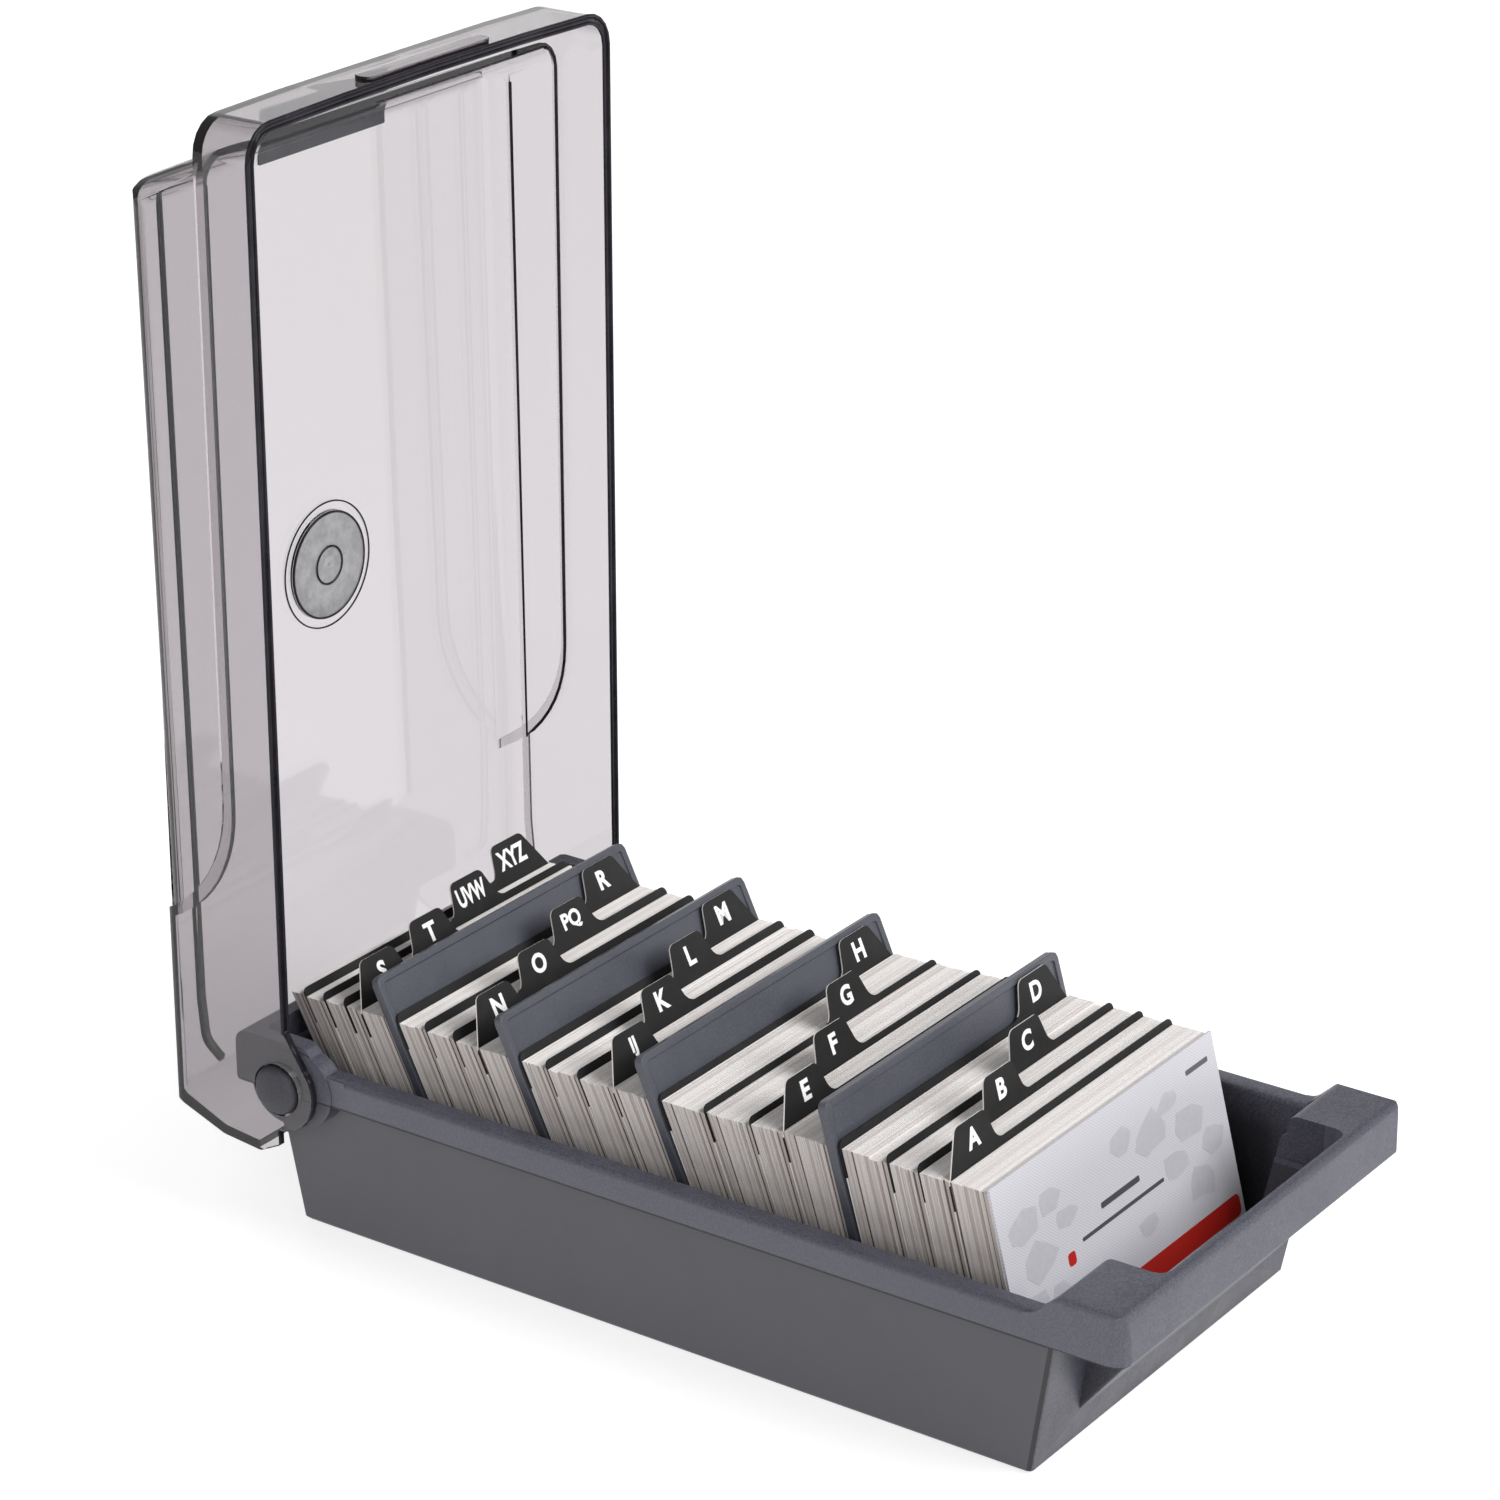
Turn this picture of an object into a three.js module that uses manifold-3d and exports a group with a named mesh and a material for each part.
// Business-card index box: a shallow tray with leaning cards, four dividers, twenty tabbed
// index guides and a clear lid that hinges on two pins at the back of the tray.
// Millimetres. +X right, +Y back, +Z up. The origin is the centre of the tray's underside.
import * as THREE from 'three';
import { mergeVertices } from 'three/addons/utils/BufferGeometryUtils.js';
import Module from 'manifold-3d';

const wasm = await Module();
wasm.setup();

// ---------------------------------------------------------------- driving dimensions
const WALL = 1.8;
const GAP = 0.3;

const BASE_HALF_WIDTH = 53.6;
const BASE_HALF_LENGTH = 98.5;
const FLOOR = 2.0;
const SIDE_DRAFT = 0.058;
const FRONT_DRAFT = 0.177;
const REAR_DRAFT = 0.156;
const CORNER_RADIUS = 0.8;

const RIM_HALF_WIDTH = 59.9;
const RIM_BOTTOM = 35.5;
const RIM_TOP = 42.7;
const RIM_ROUND = 1.5;
const SKIRT = 1.8;

const EAR_TOP = 47.8;
const EAR_INNER = 39.2;
const EAR_BACK = -101.8;
const BAND_FRONT = -123.2;
const BAND_BOTTOM = 35.75;
const BAND_THICKNESS = 2.6;
const EAR_CORNER_RADIUS = 5;
const SCOOP_HALF_WIDTH = 37.2;
const SCOOP_DRAFT = 0.12;
const SCOOP_START = { y: -99.9, z: 8 };

const PIN_Y = 97;
const PIN_Z = 37.6;
const PIN_HEAD_RADIUS = 5.8;
const PIN_SHAFT_RADIUS = 3;
const PIN_LENGTH = 5.4;
const BLOCK_HALF_WIDTH = 60.2;
const BLOCK_INNER = 40;
const BLOCK_TOP = 48.3;
const BLOCK_BACK = 111;
const BOSS_RADIUS = 9.2;
const BOSS_FORWARD = 4;

const LID_HALF_WIDTH = 63.4;
const LID_INSET = 1.1;
const LID_OPEN_EDGE = 94.5;
const LID_BACK = 128.6;
const LID_TOP = 262.0;
const LID_CROWN = 1.0;
const LID_SHELF = 109.4;
const LID_SLOPE = -0.44;
const LID_PANEL_DRAFT = 0.0098;
const LID_STEP_FOOT = 74.3;
const LID_DISC = { x: -3.5, z: 139.6, radius: 13 };
const LID_EAR_RADIUS = 10.2;
const LID_HOLE_RADIUS = 6.4;

const CARD_HALF_WIDTH = 46;
const CARD_HEIGHT = 57.6;
const SHOULDER_HEIGHT = 58.9;
const TAB_HEIGHT = 67.0;
const GUIDE_THICKNESS = 0.6;
const TAB_PITCH = 23;
const TAB_BASE = 16.6;
const TAB_TIP = 11.4;
const TAB_FILLET = 3.6;
const DIVIDER_HALF_WIDTH = 46.8;
const DIVIDER_HEIGHT = 67.2;
const DIVIDER_THICKNESS = 2.2;
const DIVIDER_FRAME = 1.8;
const SHEET_GAP = 0.2;

// Where each index guide's mid-plane crosses the card line, its lean from vertical in degrees,
// and its tab position from left to right. A divider stands right behind guides D, H, M and R.
const GUIDES = [
  { name: 'A', y: -71.9, lean: 14.8, tab: 0 },
  { name: 'B', y: -64.4, lean: 15.2, tab: 1 },
  { name: 'C', y: -56.6, lean: 15.6, tab: 2 },
  { name: 'D', y: -44.6, lean: 16.0, tab: 3, divider: 1 },
  { name: 'E', y: -29.6, lean: 18.6, tab: 0 },
  { name: 'F', y: -21.4, lean: 20.2, tab: 1 },
  { name: 'G', y: -9.4, lean: 22.0, tab: 2 },
  { name: 'H', y: 2.4, lean: 24.0, tab: 3, divider: 2 },
  { name: 'IJ', y: 15.6, lean: 25.2, tab: 0 },
  { name: 'K', y: 24.7, lean: 25.4, tab: 1 },
  { name: 'L', y: 33.4, lean: 25.6, tab: 2 },
  { name: 'M', y: 40.6, lean: 25.8, tab: 3, divider: 3 },
  { name: 'N', y: 53.2, lean: 26.0, tab: 0 },
  { name: 'O', y: 59.4, lean: 26.0, tab: 1 },
  { name: 'PQ', y: 67.4, lean: 26.0, tab: 2 },
  { name: 'R', y: 75.4, lean: 26.2, tab: 3, divider: 4 },
  { name: 'S', y: 86.6, lean: 26.6, tab: 0 },
  { name: 'T', y: 90.9, lean: 27.0, tab: 1 },
  { name: 'UVW', y: 96.9, lean: 27.6, tab: 2 },
  { name: 'XYZ', y: 102.6, lean: 28.2, tab: 3 },
];
const FRONT_CARD = { y: -81.8, lean: 14.4, thickness: 0.6 };
const REAR_SHEET = { y: 107.0, lean: 28.6 };

// ---------------------------------------------------------------- helpers
const radians = (degrees) => (degrees * Math.PI) / 180;

// Corner list [a, b, radius] to a closed outline with each corner rounded by an arc.
function outline(corners) {
  const points = [];
  corners.forEach(([x, y, radius = 0], i) => {
    const corner = new THREE.Vector2(x, y);
    if (radius === 0) {
      points.push(corner);
      return;
    }
    const previous = new THREE.Vector2(...corners[(i + corners.length - 1) % corners.length]);
    const next = new THREE.Vector2(...corners[(i + 1) % corners.length]);
    const toPrevious = previous.sub(corner).normalize();
    const toNext = next.sub(corner).normalize();
    const half = Math.acos(THREE.MathUtils.clamp(toPrevious.dot(toNext), -1, 1)) / 2;
    const bisector = toPrevious.clone().add(toNext).normalize();
    const centre = corner.clone().addScaledVector(bisector, radius / Math.sin(half));
    const start = corner.clone().addScaledVector(toPrevious, radius / Math.tan(half)).sub(centre);
    const steps = Math.max(2, Math.round(1.7 * Math.sqrt(radius)));
    const turn = Math.sign(toPrevious.cross(toNext)) * (Math.PI - 2 * half);
    for (let k = 0; k <= steps; k += 1) {
      const point = start.clone().rotateAround(new THREE.Vector2(), (-turn * k) / steps);
      points.push(point.add(centre));
    }
  });
  return points;
}

function circle(x, y, radius, sides = 32) {
  const points = [];
  for (let i = 0; i < sides; i += 1) {
    const angle = (2 * Math.PI * i) / sides;
    points.push(new THREE.Vector2(x + radius * Math.cos(angle), y + radius * Math.sin(angle)));
  }
  return points;
}

function rectangle(x0, x1, y0, y1, radius = 0) {
  return outline([[x0, y0, radius], [x1, y0, radius], [x1, y1, radius], [x0, y1, radius]]);
}

function toSolid(geometry) {
  const bare = geometry.clone();
  bare.deleteAttribute('normal');
  bare.deleteAttribute('uv');
  const merged = mergeVertices(bare, 1e-4);
  return new wasm.Manifold(new wasm.Mesh({
    numProp: 3,
    vertProperties: new Float32Array(merged.attributes.position.array),
    triVerts: new Uint32Array(merged.index.array),
  }));
}

function toGeometry(solid) {
  const mesh = solid.getMesh();
  const geometry = new THREE.BufferGeometry();
  geometry.setAttribute('position', new THREE.BufferAttribute(new Float32Array(mesh.vertProperties), 3));
  geometry.setIndex(new THREE.BufferAttribute(new Uint32Array(mesh.triVerts), 1));
  const flat = geometry.toNonIndexed();
  flat.computeVertexNormals();
  return flat;
}

// Prism with an (x, y) outline, from z0 up to z1.
function prismZ(points, z0, z1) {
  const options = { depth: z1 - z0, bevelEnabled: false, curveSegments: 1 };
  const geometry = new THREE.ExtrudeGeometry(new THREE.Shape(points), options);
  return geometry.translate(0, 0, z0);
}

// Prism with a (y, z) outline, from x0 to x1.
function prismX(points, x0, x1) {
  const geometry = prismZ(points, x0, x1);
  const swap = new THREE.Matrix4().set(0, 0, 1, 0, 1, 0, 0, 0, 0, 1, 0, 0, 0, 0, 0, 1);
  return geometry.applyMatrix4(swap);
}

// Prism with an (x, z) outline, from y0 to y1.
function prismY(points, y0, y1) {
  return prismZ(points, 0, y1 - y0).rotateX(Math.PI / 2).translate(0, y1, 0);
}

// Solid through level rings with equal point counts, each given as { points, z }.
function loft(rings) {
  const count = rings[0].points.length;
  const positions = rings.flatMap(({ points, z }) => points.flatMap((p) => [p.x, p.y, z]));
  const index = [];
  for (let level = 0; level + 1 < rings.length; level += 1) {
    for (let i = 0; i < count; i += 1) {
      const a = level * count + i;
      const b = level * count + ((i + 1) % count);
      index.push(a, b, b + count, a, b + count, a + count);
    }
  }
  const top = (rings.length - 1) * count;
  for (let i = 1; i + 1 < count; i += 1) {
    index.push(0, i + 1, i, top, top + i, top + i + 1);
  }
  const geometry = new THREE.BufferGeometry();
  geometry.setAttribute('position', new THREE.Float32BufferAttribute(positions, 3));
  geometry.setIndex(index);
  return geometry;
}

const union = (solids) => solids.reduce((sum, solid) => sum.add(solid));
const cut = (body, solids) => solids.reduce((rest, solid) => rest.subtract(solid), body);
const mirrorX = (solid) => solid.mirror([1, 0, 0]);
const bothSides = (solid) => union([solid, mirrorX(solid)]);

// ---------------------------------------------------------------- tray
// Plan outline of the drafted tray body at height z, moved in by the given wall.
function trayPlan(z, wall, radius) {
  const x = BASE_HALF_WIDTH + SIDE_DRAFT * z - wall;
  const front = -BASE_HALF_LENGTH - FRONT_DRAFT * z + wall;
  const back = BASE_HALF_LENGTH + REAR_DRAFT * z - wall;
  return { points: rectangle(-x, x, front, back, radius), z };
}

function trayShell() {
  return toSolid(loft([trayPlan(0, 0.8, CORNER_RADIUS), trayPlan(0.8, 0, CORNER_RADIUS),
    trayPlan(RIM_TOP - 1, 0, CORNER_RADIUS)]));
}

function trayCavity() {
  return toSolid(loft([trayPlan(FLOOR, WALL, 1.5), trayPlan(RIM_TOP - 1.4, WALL, 1.5),
    trayPlan(RIM_TOP - 0.4, WALL - 0.4, 1.5), trayPlan(RIM_TOP + 0.01, WALL - 1.2, 1.5),
    trayPlan(70, WALL - 1.2, 1.5)]));
}

// Rim lip with a rounded top edge; it ends inside the ears and the hinge blocks.
function rim() {
  const front = EAR_BACK - 6;
  const back = BLOCK_BACK - 1.5;
  const ring = (inset, z) => ({
    points: rectangle(-RIM_HALF_WIDTH + inset, RIM_HALF_WIDTH - inset, front, back - inset, 3),
    z,
  });
  const rounding = [0, 30, 60, 90].map((degrees) => {
    const angle = radians(degrees);
    return ring(RIM_ROUND * (1 - Math.cos(angle)), RIM_TOP - RIM_ROUND * (1 - Math.sin(angle)));
  });
  return toSolid(loft([ring(0, RIM_BOTTOM), ...rounding]));
}

// Space between the rim's skirt and the tray wall, open from below.
function rimGroove() {
  const x = RIM_HALF_WIDTH - SKIRT;
  const back = BLOCK_BACK - 1.5 - SKIRT;
  const space = toSolid(prismZ(rectangle(-x, x, EAR_BACK + 2, back), RIM_BOTTOM - 1, RIM_TOP - 2));
  const core = toSolid(loft([trayPlan(RIM_BOTTOM - 2, 0, 1), trayPlan(RIM_TOP, 0, 1)]));
  return space.subtract(core);
}

// Raised front corners and the pull band that joins them, as one rounded prow.
function prow() {
  const side = outline([[-99, BAND_BOTTOM, 0], [-99, RIM_TOP - 0.6, 0], [EAR_BACK, RIM_TOP - 0.2, 4],
    [-107.4, EAR_TOP, 3], [BAND_FRONT, EAR_TOP, 2.5], [BAND_FRONT - 0.6, BAND_BOTTOM, 1]]);
  const front = BAND_FRONT - 1;
  const plan = outline([[-RIM_HALF_WIDTH, front, EAR_CORNER_RADIUS],
    [RIM_HALF_WIDTH, front, EAR_CORNER_RADIUS], [RIM_HALF_WIDTH, -90, 0], [-RIM_HALF_WIDTH, -90, 0]]);
  const face = outline([[-RIM_HALF_WIDTH, 30, 0], [RIM_HALF_WIDTH, 30, 0],
    [RIM_HALF_WIDTH, EAR_TOP, 1.5], [-RIM_HALF_WIDTH, EAR_TOP, 1.5]]);
  return toSolid(prismX(side, -RIM_HALF_WIDTH, RIM_HALF_WIDTH))
    .intersect(toSolid(prismZ(plan, 30, 60)))
    .intersect(toSolid(prismY(face, -130, -90)));
}

// Hollow under each front corner.
function earHollow() {
  const plan = rectangle(EAR_INNER + WALL, RIM_HALF_WIDTH - WALL, BAND_FRONT + WALL, -107.5, 2);
  const hollow = toSolid(prismZ(plan, BAND_BOTTOM - 1, EAR_TOP - 2));
  const core = toSolid(loft([trayPlan(30, 0, 1), trayPlan(60, 0, 1)]));
  return bothSides(hollow.subtract(core));
}

// Level ring of the scoop at height z; its sides and its front open outwards with height.
function scoopRing(z, wall, radius) {
  const rise = Math.min(1, (z - SCOOP_START.z) / (BAND_BOTTOM - SCOOP_START.z));
  const front = THREE.MathUtils.lerp(SCOOP_START.y, BAND_FRONT + 1.2, rise);
  const x = SCOOP_HALF_WIDTH + SCOOP_DRAFT * rise * (BAND_BOTTOM - SCOOP_START.z);
  return { points: rectangle(-x + wall, x - wall, front + wall, -90, radius), z };
}

// Slanted front wall that widens the tray towards the pull band.
function scoop() {
  return toSolid(loft([scoopRing(SCOOP_START.z, 0, 1), scoopRing(BAND_BOTTOM, 0, 1),
    scoopRing(BAND_BOTTOM + 4, 0, 1)]));
}

function scoopCavity() {
  const slope = toSolid(loft([scoopRing(SCOOP_START.z, WALL - 0.2, 2), scoopRing(BAND_BOTTOM, WALL - 0.2, 2)])
    .translate(0, 0, 1.2));
  const inner = BAND_FRONT + BAND_THICKNESS;
  const mouth = prismZ(rectangle(-EAR_INNER, EAR_INNER, inner, -90, 3), BAND_BOTTOM + 1.1, 70);
  return slope.add(toSolid(mouth));
}

// Raised block and round boss that carry one hinge pin.
function hingeBlock() {
  const side = outline([[80, RIM_BOTTOM, 0], [BLOCK_BACK, RIM_BOTTOM, 1], [BLOCK_BACK, BLOCK_TOP, 3],
    [91.6, BLOCK_TOP, 3.4], [86.4, RIM_TOP - 0.1, 5], [80, RIM_TOP - 0.3, 0]]);
  const block = toSolid(prismX(side, BLOCK_INNER, RIM_HALF_WIDTH));
  const discs = [PIN_Y, PIN_Y - BOSS_FORWARD].map((y) => toSolid(
    prismX(circle(y, PIN_Z, BOSS_RADIUS, 64), BASE_HALF_WIDTH, BLOCK_HALF_WIDTH)));
  const boss = discs[0].add(discs[1]);
  const below = toSolid(prismZ(rectangle(BLOCK_INNER, 70, 60, 130), 0, BLOCK_TOP - 0.4));
  return block.add(boss.intersect(below));
}

function pinBore() {
  const end = BLOCK_HALF_WIDTH - PIN_LENGTH - GAP;
  return toSolid(prismX(circle(PIN_Y, PIN_Z, PIN_SHAFT_RADIUS + GAP, 24), end, BLOCK_HALF_WIDTH + 1));
}

function tray() {
  const body = union([trayShell(), rim(), prow(), scoop(), bothSides(hingeBlock())]);
  return cut(body, [rimGroove().subtract(bothSides(hingeBlock())), earHollow(), trayCavity(),
    scoopCavity(), bothSides(pinBore())]);
}

// ---------------------------------------------------------------- hinge pin
function hingePin() {
  const face = LID_HALF_WIDTH + 1.1;
  const start = BLOCK_HALF_WIDTH - PIN_LENGTH;
  const neck = BLOCK_HALF_WIDTH + GAP;
  const profile = [[0, start], [PIN_SHAFT_RADIUS - 0.6, start], [PIN_SHAFT_RADIUS, start + 0.8],
    [PIN_SHAFT_RADIUS, neck], [PIN_HEAD_RADIUS, neck], [PIN_HEAD_RADIUS, face - 1.2],
    [PIN_HEAD_RADIUS - 0.5, face - 0.6], [PIN_HEAD_RADIUS - 2.4, face - 0.15], [0, face]];
  const lathe = new THREE.LatheGeometry(profile.map(([r, h]) => new THREE.Vector2(r, h)), 32);
  return toSolid(lathe.rotateZ(-Math.PI / 2).translate(0, PIN_Y, PIN_Z));
}

// ---------------------------------------------------------------- lid, modelled standing open
// Side outline of the full-width frame; wall moves it in for the cavity. Its step sweeps back
// to the panel in one large arc.
function lidFrameSide(wall) {
  const back = LID_BACK - wall;
  const shelf = LID_SHELF - wall;
  return outline([[LID_OPEN_EDGE, 48.4, 4], [LID_OPEN_EDGE, LID_TOP - wall, 0],
    [shelf, LID_TOP - wall, 1.2], [shelf, 83.5 - wall, 34],
    [back, LID_STEP_FOOT - wall, 0], [back, 27.4 + wall, 2.5], [113.4, 21.8 + wall, 4],
    [102.6, 20.7 + wall, 1], [PIN_Y, 23.5, 0], [PIN_Y, 44, 0]]);
}

// Side outline of the deeper part behind the step; its top end slopes to the back panel.
function lidPanelSide(wall) {
  const back = LID_BACK - wall;
  return outline([[LID_SHELF - 4, 66, 0], [back, 66, 0], [back, 244.5 - wall, 6.5],
    [LID_SHELF, 253 - wall, 1.5], [LID_SHELF - 4, 253.5 - wall, 0]]);
}

// Plan outline that rounds the two long edges where the sides meet the back panel.
function lidPlan(halfWidth, back, radius) {
  return outline([[-halfWidth, 60, 0], [halfWidth, 60, 0], [halfWidth, back, radius],
    [-halfWidth, back, radius]]);
}

// Front outline that rounds the two top corners under a slightly crowned top edge.
function lidFace(halfWidth, top, radius) {
  return outline([[-halfWidth, 0, 0], [halfWidth, 0, 0], [halfWidth, top - LID_CROWN, radius],
    [halfWidth / 2, top - LID_CROWN / 4, 40], [0, top, 60], [-halfWidth / 2, top - LID_CROWN / 4, 40],
    [-halfWidth, top - LID_CROWN, radius]]);
}

// Moves each point up or down in proportion to its distance behind the step.
function slope(geometry) {
  const shear = new THREE.Matrix4().makeShear(0, 0, 0, LID_SLOPE, 0, 0);
  return geometry.applyMatrix4(shear).translate(0, 0, -LID_SLOPE * LID_SHELF);
}

// How much deeper the panel is than the frame at height z.
const panelDepth = (z) => LID_PANEL_DRAFT * (z - LID_STEP_FOOT);

function lidFrame(wall) {
  const halfWidth = LID_HALF_WIDTH - wall;
  return toSolid(prismX(lidFrameSide(wall), -halfWidth, halfWidth))
    .intersect(toSolid(prismZ(lidPlan(halfWidth, LID_BACK - wall, 3 - wall / 2), 0, 300)))
    .intersect(toSolid(prismY(lidFace(halfWidth, LID_TOP - wall, 8 - wall), 60, 160)));
}

function lidPanel(wall) {
  const halfWidth = LID_HALF_WIDTH - LID_INSET - wall;
  const upright = toSolid(prismX(lidPanelSide(wall), -halfWidth, halfWidth))
    .intersect(toSolid(prismZ(lidPlan(halfWidth, LID_BACK - wall, 4 - wall / 2), 0, 300)))
    .intersect(toSolid(slope(prismY(lidFace(halfWidth, 253 - wall, 7 - wall), 60, 160))));
  return upright.transform([1, 0, 0, 0, 0, 1, 0, 0, 0, LID_PANEL_DRAFT, 1, 0, 0, panelDepth(0), 0, 1]);
}

// Low rib on the inside of the right wall, near the back panel, with a hook at its foot.
function lidRib() {
  const path = outline([[120.9, 243, 0], [119.4, 54, 0], [118.5, 44, 4], [114.4, 40.6, 0],
    [114.8, 39.4, 0], [119.6, 43, 5], [120.6, 54, 0], [122.1, 243, 0]]);
  const inner = LID_HALF_WIDTH - LID_INSET - WALL;
  return toSolid(prismX(path, inner - 0.5, inner + LID_INSET + 0.2));
}

// Low round boss on the inside of the back panel.
function lidDisc() {
  const inner = LID_BACK - WALL + panelDepth(LID_DISC.z);
  const { x, z, radius } = LID_DISC;
  return toSolid(prismY(circle(x, z, radius, 40), inner - 0.5, inner + 0.4));
}

// Everything in front of the open edge and between the ears.
function lidMouth() {
  const halfWidth = LID_HALF_WIDTH - WALL;
  const side = [[60, 10], [103.6, 10], [103.6, 23.4], [112, 60], [LID_SHELF - 6, 80],
    [LID_SHELF - 6, 200], [60, 200]];
  return toSolid(prismX(side.map(([y, z]) => new THREE.Vector2(y, z)), -halfWidth, halfWidth));
}

function lidEar() {
  const start = LID_HALF_WIDTH - WALL;
  const cheek = outline([[PIN_Y + 4, PIN_Z, 0], [PIN_Y + 4, 56, 0], [LID_OPEN_EDGE, 52.5, 2],
    [PIN_Y - 9.3, PIN_Z + 4.1, 0]]);
  return toSolid(prismX(circle(PIN_Y, PIN_Z, LID_EAR_RADIUS), start, LID_HALF_WIDTH))
    .add(toSolid(prismX(cheek, start, LID_HALF_WIDTH)));
}

// Raised finger lip on the free end.
function fingerLip() {
  const pad = rectangle(-21.5, 21.5, LID_OPEN_EDGE + 0.9, LID_OPEN_EDGE + 5.6, 1.6);
  return toSolid(prismZ(pad, LID_TOP - 1.2, LID_TOP + 1.2));
}

function lid() {
  const shell = union([lidFrame(0), lidPanel(0), bothSides(lidEar()), fingerLip()]);
  const cavity = lidFrame(WALL).add(lidPanel(WALL)).add(lidMouth());
  const bore = circle(PIN_Y, PIN_Z, LID_HOLE_RADIUS);
  const hole = toSolid(prismX(bore, LID_HALF_WIDTH - WALL - 1, LID_HALF_WIDTH + 1));
  return cut(shell, [cavity, bothSides(hole)]).add(bothSides(lidRib())).add(lidDisc());
}

// ---------------------------------------------------------------- leaning sheets
// Foot of a sheet's mid-plane, for a sheet whose mid-plane passes y at the card line.
function footY(sheet) {
  return sheet.y - CARD_HEIGHT * Math.sin(radians(sheet.lean));
}

// Stand an upright sheet on the floor at the given foot and lean it back.
function lean(geometry, y, degrees, thickness) {
  const lift = FLOOR + GAP + (thickness / 2) * Math.sin(radians(degrees));
  return geometry.rotateX(-radians(degrees)).translate(0, y, lift);
}

// Index guide: a card-wide sheet with a rounded shoulder and one tab in one of four places.
function guide(sheet) {
  const centre = (sheet.tab - 1.5) * TAB_PITCH;
  const foot = TAB_BASE / 2;
  const tip = TAB_TIP / 2;
  const left = sheet.tab === 0 ? -CARD_HALF_WIDTH : centre - foot;
  const right = sheet.tab === 3 ? CARD_HALF_WIDTH : centre + foot;
  const corners = [[-CARD_HALF_WIDTH, 0, 0], [CARD_HALF_WIDTH, 0, 0]];
  corners.push([CARD_HALF_WIDTH, SHOULDER_HEIGHT - (sheet.tab === 3 ? 3 : 0), 1.5]);
  if (sheet.tab !== 3) {
    corners.push([right, SHOULDER_HEIGHT, TAB_FILLET]);
  }
  corners.push([centre + tip, TAB_HEIGHT, 2], [centre - tip, TAB_HEIGHT, 2]);
  if (sheet.tab !== 0) {
    corners.push([left, SHOULDER_HEIGHT, TAB_FILLET]);
  }
  corners.push([-CARD_HALF_WIDTH, SHOULDER_HEIGHT - (sheet.tab === 0 ? 3 : 0), 1.5]);
  const flat = prismY(outline(corners), -GUIDE_THICKNESS / 2, GUIDE_THICKNESS / 2);
  return lean(flat, footY(sheet), sheet.lean, GUIDE_THICKNESS);
}

// Divider plate: a rounded rectangle with a shallow panel sunk into its front face.
function dividerPlate() {
  const half = DIVIDER_THICKNESS / 2;
  const width = DIVIDER_HALF_WIDTH;
  const plate = prismY(rectangle(-width, width, 0, DIVIDER_HEIGHT, 1.8), -half, half);
  const inside = width - DIVIDER_FRAME;
  const panel = rectangle(-inside, inside, DIVIDER_FRAME, DIVIDER_HEIGHT - DIVIDER_FRAME, 0.8);
  const front = toSolid(prismY(panel, -half - 1, -half + 0.5));
  const back = toSolid(prismY(panel, half - 0.5, half + 1));
  return toGeometry(cut(toSolid(plate), [front, back]));
}

// A divider's distance behind the guide it stands against, between mid-planes.
const DIVIDER_OFFSET = (GUIDE_THICKNESS + DIVIDER_THICKNESS) / 2 + SHEET_GAP;

function dividerSheet(sheet) {
  const angle = radians(sheet.lean + 0.2);
  return { y: footY(sheet) + DIVIDER_OFFSET / Math.cos(angle), lean: sheet.lean + 0.2 };
}

function divider(sheet) {
  const { y, lean: degrees } = dividerSheet(sheet);
  return lean(dividerPlate(), y, degrees, DIVIDER_THICKNESS);
}

// ---------------------------------------------------------------- packs of cards
// Face of a sheet as { foot, lean } on its front (-1) or back (+1) side.
function sheetFace(foot, degrees, thickness, side) {
  const offset = (side * (thickness / 2 + SHEET_GAP)) / Math.cos(radians(degrees));
  return { foot: foot + offset, lean: degrees };
}

// Block of loose cards that fills the space between two leaning faces.
function pack(front, back) {
  const bottom = FLOOR + GAP + 0.2;
  const at = (face, along) => {
    const angle = radians(face.lean);
    return new THREE.Vector2(face.foot + along * Math.sin(angle), FLOOR + GAP + along * Math.cos(angle));
  };
  const level = (face) => new THREE.Vector2(face.foot, bottom);
  const points = [level(front), level(back), at(back, CARD_HEIGHT), at(front, CARD_HEIGHT)];
  return prismX(points, -CARD_HALF_WIDTH + 0.3, CARD_HALF_WIDTH - 0.3);
}

function frontCard() {
  const flat = prismY(outline([[-CARD_HALF_WIDTH, 0, 0], [CARD_HALF_WIDTH, 0, 0],
    [CARD_HALF_WIDTH, CARD_HEIGHT + 0.6, 0], [-CARD_HALF_WIDTH, CARD_HEIGHT + 0.6, 0]]),
  -FRONT_CARD.thickness / 2, FRONT_CARD.thickness / 2);
  return lean(flat, footY(FRONT_CARD), FRONT_CARD.lean, FRONT_CARD.thickness);
}

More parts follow.
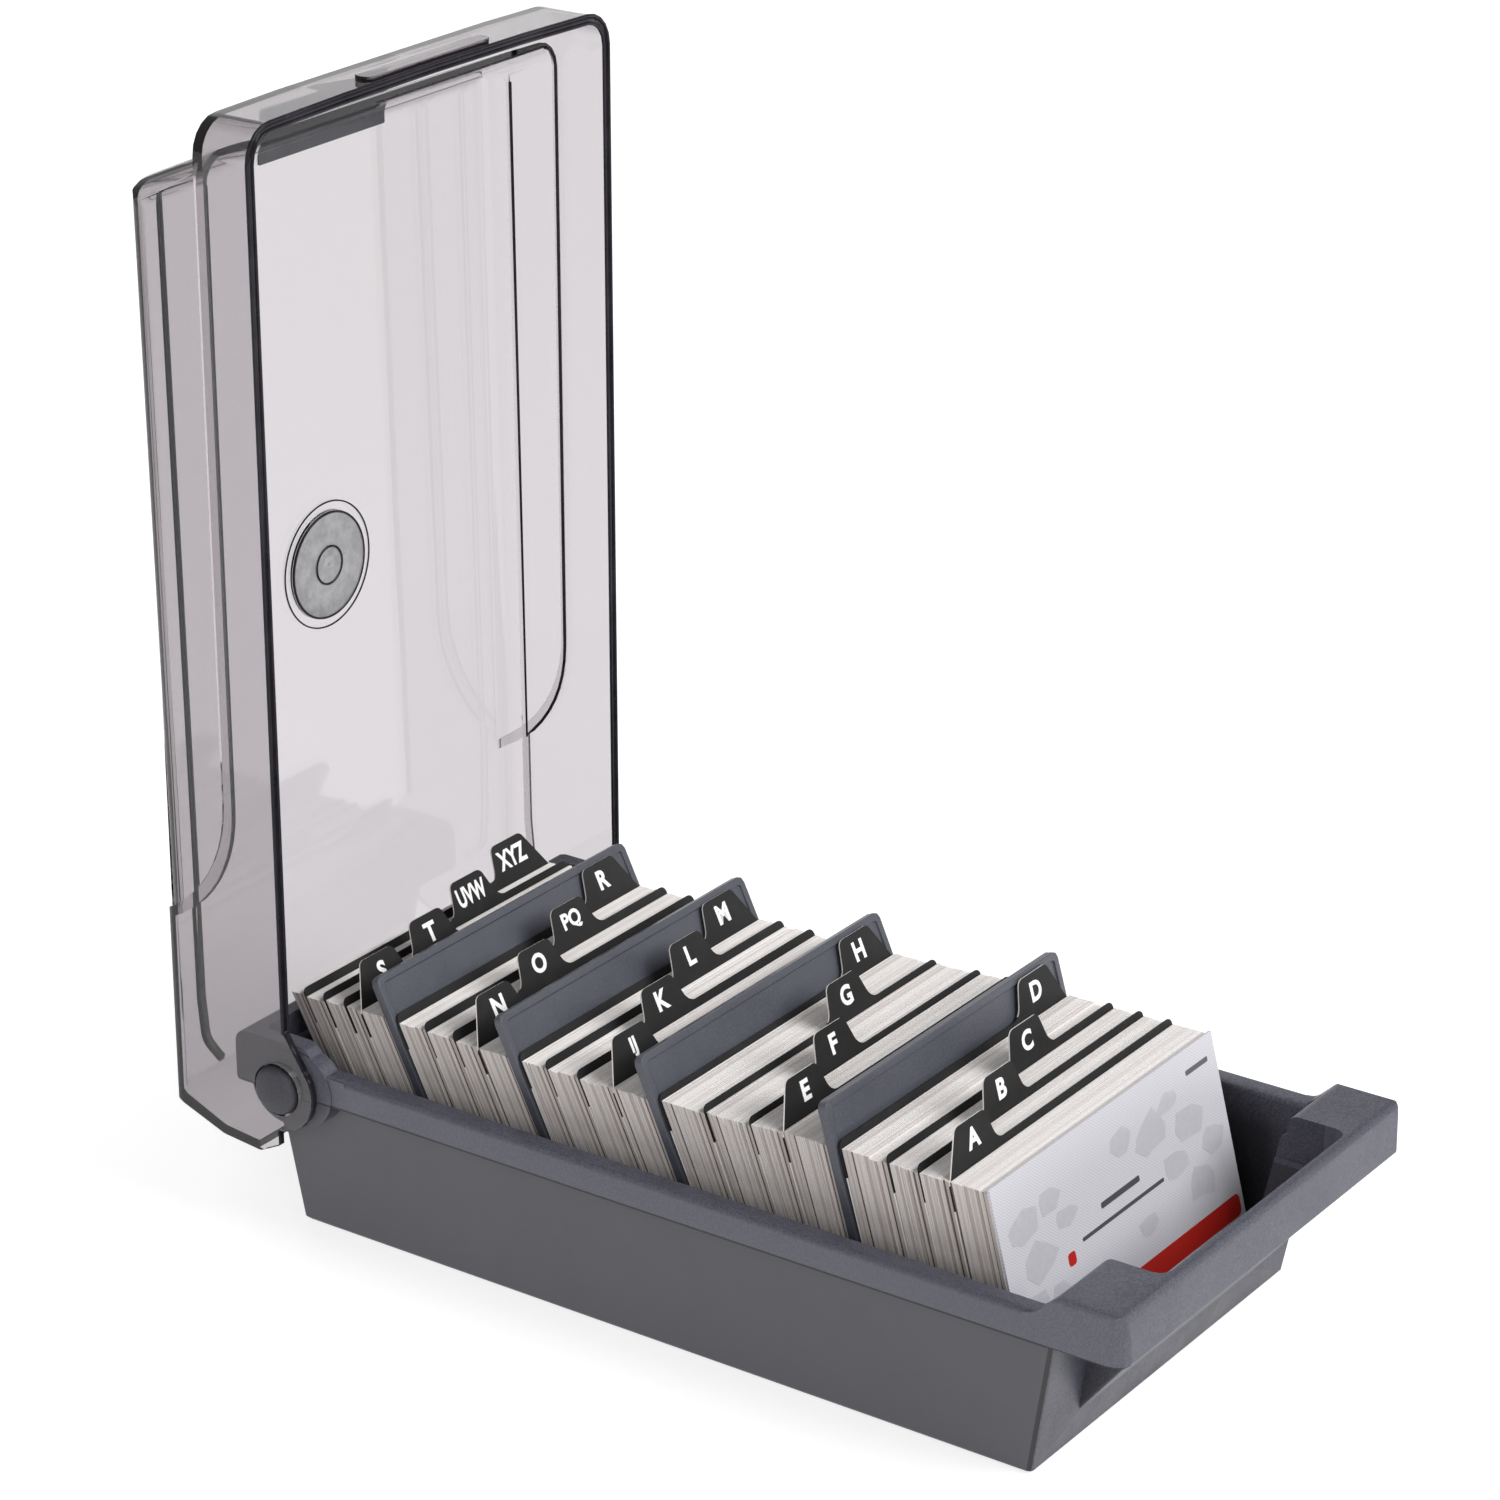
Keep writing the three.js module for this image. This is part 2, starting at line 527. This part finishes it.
// Packs in order from the front card to the rear of the tray.
function packs() {
  const found = [];
  let front = sheetFace(footY(FRONT_CARD), FRONT_CARD.lean, FRONT_CARD.thickness, 1);
  let label = 'front';
  for (const sheet of GUIDES) {
    const back = sheetFace(footY(sheet), sheet.lean, GUIDE_THICKNESS, -1);
    found.push({ name: `cards_${label}_to_${sheet.name}`, geometry: pack(front, back) });
    front = sheetFace(footY(sheet), sheet.lean, GUIDE_THICKNESS, 1);
    if (sheet.divider) {
      const plate = dividerSheet(sheet);
      front = sheetFace(plate.y, plate.lean, DIVIDER_THICKNESS, 1);
    }
    label = sheet.name;
  }
  const back = sheetFace(footY(REAR_SHEET), REAR_SHEET.lean, 0, -1);
  found.push({ name: 'cards_rear', geometry: pack(front, back) });
  return found;
}

// ---------------------------------------------------------------- assembly
const LOOKS = {
  tray: { color: 0x5a5d66, roughness: 0.55, metalness: 0 },
  lid: { color: 0xb9b5b8, roughness: 0.08, metalness: 0, transparent: true, opacity: 0.35 },
  divider: { color: 0x5c6068, roughness: 0.5, metalness: 0 },
  guide: { color: 0x262426, roughness: 0.6, metalness: 0 },
  cards: { color: 0xd9d2ca, roughness: 0.85, metalness: 0 },
  frontCard: { color: 0xe6e4ea, roughness: 0.6, metalness: 0 },
};

const group = new THREE.Group();
group.name = 'card_index_box';

function addPiece(name, geometry, look) {
  const mesh = new THREE.Mesh(geometry, new THREE.MeshStandardMaterial(LOOKS[look]));
  mesh.name = name;
  group.add(mesh);
}

addPiece('tray', toGeometry(tray()), 'tray');
addPiece('lid', toGeometry(lid()), 'lid');
addPiece('hinge_pin_right', toGeometry(hingePin()), 'tray');
addPiece('hinge_pin_left', toGeometry(mirrorX(hingePin())), 'tray');
addPiece('front_card', frontCard(), 'frontCard');
for (const sheet of GUIDES) {
  addPiece(`guide_${sheet.name}`, guide(sheet), 'guide');
  if (sheet.divider) {
    addPiece(`divider_${sheet.divider}`, divider(sheet), 'divider');
  }
}
for (const { name, geometry } of packs()) {
  addPiece(name, geometry, 'cards');
}

export default group;
